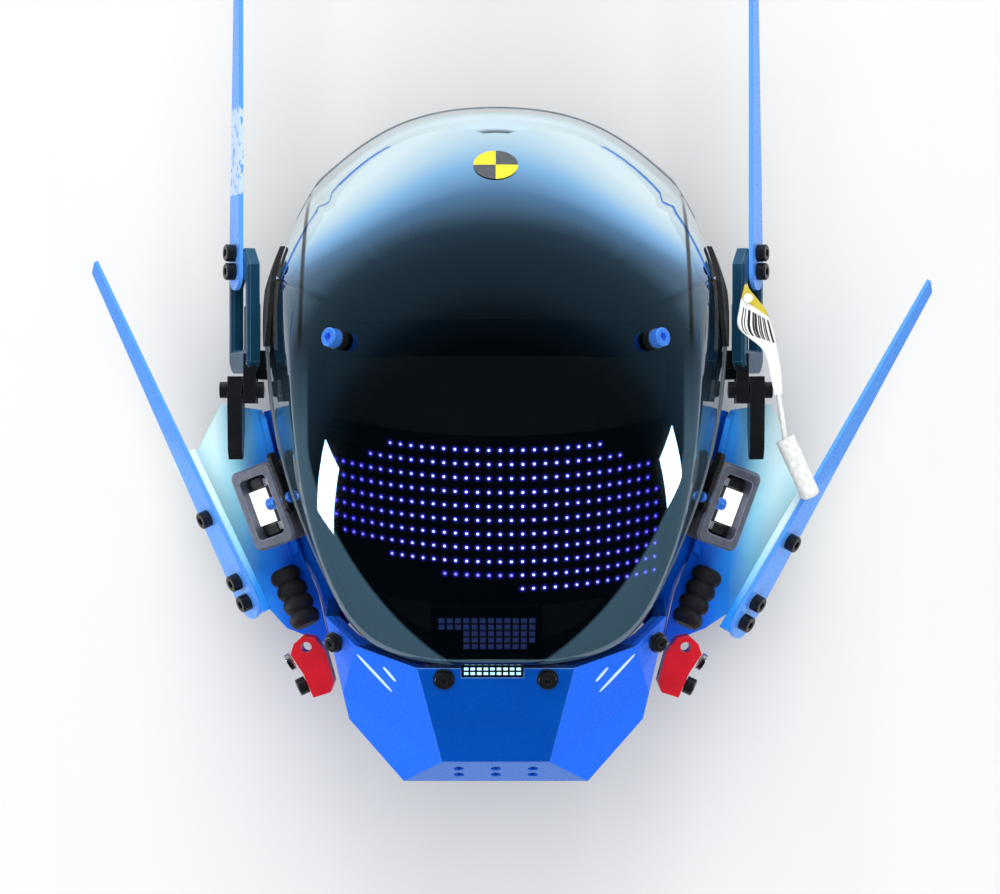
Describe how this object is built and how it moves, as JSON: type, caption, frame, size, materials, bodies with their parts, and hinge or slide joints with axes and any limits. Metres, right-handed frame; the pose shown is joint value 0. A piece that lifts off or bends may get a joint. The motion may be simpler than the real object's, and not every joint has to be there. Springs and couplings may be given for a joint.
{
  "type": "illuminated visor mask",
  "caption": "Full-face helmet mask with a smoked mirror visor over a curved light matrix, blue faceted chin guard, side fins, tilting jaw lamps and ear levers",
  "frame": {"origin": "centre of the rear face opening, on the surface the mask lies on, where the wearer's head enters", "axes": "+Z out of the face, +Y towards the forehead, +X to the right as seen from in front"},
  "size_m": [0.4111, 0.3993, 0.187],
  "materials": {
    "frame_black": "fine moulded texture, satin black",
    "rubber": "matte moulded rubber",
    "foam": "soft knitted foam cover",
    "visor": "smoked mirror-coated polycarbonate",
    "blue_anodised": "bright blue anodised screw",
    "black_metal": "black oxide",
    "marker": "quartered yellow and grey film",
    "led_light": "lit light strip",
    "mouth_light": "dim lit cells",
    "blue_paint": "deep gloss blue lacquer over metal",
    "board": "solder-masked board",
    "steel": "turned steel",
    "label": "printed film label with plain bars",
    "white_plastic": "satin white",
    "grey_metal": "bead-blasted grey with worn bevels",
    "lamp_light": "lit white diffuser",
    "ring_blue": "dark blue anodised with soft bevels",
    "dark_plate": "dark teal plate",
    "red_anodised": "red anodised, machined"
  },
  "bodies": {
    "mask": {"inner_frame": "frame_black", "rear_rim": "rubber", "face_foam": "foam", "brow_hoop": "frame_black", "visor_lens": "visor", "visor_gasket": "rubber", "visor_screws": "blue_anodised", "visor_spacers": "black_metal", "target_marker": "marker", "led_carrier": "frame_black", "led_strips": "led_light", "mouth_matrix": "mouth_light", "mouth_strip": "led_light", "chin_guard": "blue_paint", "chin_screws": "black_metal", "chin_washers": "black_metal", "controller_board": "board", "battery_pack": "foam", "strap_anchors": "frame_black", "cheek_shell_right": "blue_paint", "cheek_shell_left": "blue_paint", "fin_right": "blue_paint", "fin_left": "blue_paint", "fin_screws": "black_metal", "antenna_screws": "black_metal", "bracket_screws": "black_metal", "bracket_rings": "steel", "tag_pin": "white_plastic", "light_arm_right": "black_metal", "light_pivot_right": "blue_anodised", "side_ring_right": "ring_blue", "ring_plate_right": "dark_plate", "hinge_block_right": "black_metal", "lever_pin_right": "black_metal", "temple_pad_right": "rubber", "antenna_right": "blue_paint", "bracket_right": "red_anodised", "conduit_right": "rubber", "light_arm_left": "black_metal", "light_pivot_left": "blue_anodised", "side_ring_left": "ring_blue", "ring_plate_left": "dark_plate", "hinge_block_left": "black_metal", "lever_pin_left": "black_metal", "temple_pad_left": "rubber", "antenna_left": "blue_paint", "bracket_left": "red_anodised", "conduit_left": "rubber"},
    "lamp_right": {"light_housing_right": "grey_metal", "light_core_right": "black_metal", "light_panel_right": "lamp_light"},
    "lamp_left": {"light_housing_left": "grey_metal", "light_core_left": "black_metal", "light_panel_left": "lamp_light"},
    "lever_right": {"lever_right": "black_metal"},
    "lever_left": {"lever_left": "black_metal"},
    "power_button": {"power_button": "frame_black"},
    "tag": {"tag_label": "label", "tag_strap": "white_plastic", "tag_barrel": "white_plastic"}
  },
  "joints": [
    {"name": "lamp_right_tilt", "type": "hinge", "parent": "mask", "child": "lamp_right", "pos_m": [0.1026, -0.0254, 0.07698], "axis": [0.7881, -0.2868, -0.5446], "range_deg": [-8, 2.5]},
    {"name": "lamp_left_tilt", "type": "hinge", "parent": "mask", "child": "lamp_left", "pos_m": [-0.1026, -0.0254, 0.07698], "axis": [0.7881, 0.2868, 0.5446], "range_deg": [-8, 2.5]},
    {"name": "lever_right_lift", "type": "hinge", "parent": "mask", "child": "lever_right", "pos_m": [0.1255, 0.0275, 0.0675], "axis": [-1, 0, 0], "range_deg": [0, 45]},
    {"name": "lever_left_lift", "type": "hinge", "parent": "mask", "child": "lever_left", "pos_m": [-0.1255, 0.0275, 0.0675], "axis": [-1, 0, 0], "range_deg": [0, 45]},
    {"name": "button_press", "type": "slide", "parent": "mask", "child": "power_button", "axis": [-1, 0, 0], "range_m": [0, 0.0015], "stiffness_N_per_m": 300},
    {"name": "tag_swing", "type": "hinge", "parent": "mask", "child": "tag", "pos_m": [0.1193, 0.0705, 0.084], "axis": [0, 0, 1], "range_deg": [-3, 8]}
  ]
}
